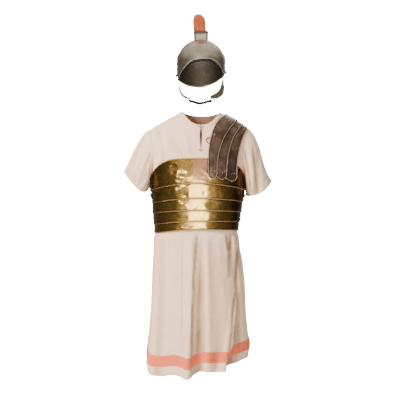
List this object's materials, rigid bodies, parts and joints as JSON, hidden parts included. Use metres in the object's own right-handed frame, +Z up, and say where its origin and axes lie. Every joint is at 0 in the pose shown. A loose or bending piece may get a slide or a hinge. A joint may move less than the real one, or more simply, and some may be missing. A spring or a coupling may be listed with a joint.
{
  "type": "roman centurion costume",
  "caption": "Hollow knee-length tunic under a banded brass cuirass with shoulder lames over one shoulder, and a crested helmet with cheek guards, held as worn.",
  "frame": {"origin": "base of the neck, on the line of the shoulder seams, where the wearer holds the costume up", "axes": "+Z up, -Y is the front, +X is the wearer's left"},
  "size_m": [0.623, 0.4221, 1.4865],
  "materials": {
    "tunic_cloth": "plain woven, undyed",
    "ribbon": "woven salmon ribbon",
    "thread": "twisted thread",
    "brass": "polished, dented and darkened",
    "bronze": "brown patina with rubbed edges",
    "helmet_metal": "worn pewter grey",
    "black_leather": "matt",
    "brown_leather": "matt",
    "bristle": "dyed bristle"
  },
  "bodies": {
    "root": {"tunic_front": "tunic_cloth", "tunic_back": "tunic_cloth", "sleeve_right": "tunic_cloth", "sleeve_left": "tunic_cloth", "neck_binding": "tunic_cloth", "hem_ribbon_front": "ribbon", "hem_ribbon_back": "ribbon", "neck_tie": "thread", "slit_tie": "thread", "plate_chest_front": "brass", "plate_band_1_front": "brass", "plate_band_2_front": "brass", "plate_band_3_front": "brass", "plate_band_4_front": "brass", "plate_chest_back": "brass", "plate_band_1_back": "brass", "plate_band_2_back": "brass", "plate_band_3_back": "brass", "plate_band_4_back": "brass", "side_strap_right": "brown_leather", "side_strap_left": "brown_leather", "side_buckle_right": "brass", "side_buckle_left": "brass", "shoulder_lame_inner": "bronze", "shoulder_lame_middle": "bronze", "shoulder_lame_outer": "bronze", "shoulder_stud": "brass", "lacing_loop": "bronze", "helmet_bowl": "helmet_metal", "brow_plate": "helmet_metal", "brow_lining": "black_leather", "crest_box": "helmet_metal", "crest": "bristle", "cheek_guard_right": "helmet_metal", "cheek_guard_left": "helmet_metal", "ear_pivot_right": "bronze", "ear_pivot_left": "bronze", "chin_tie": "black_leather"}
  },
  "joints": []
}
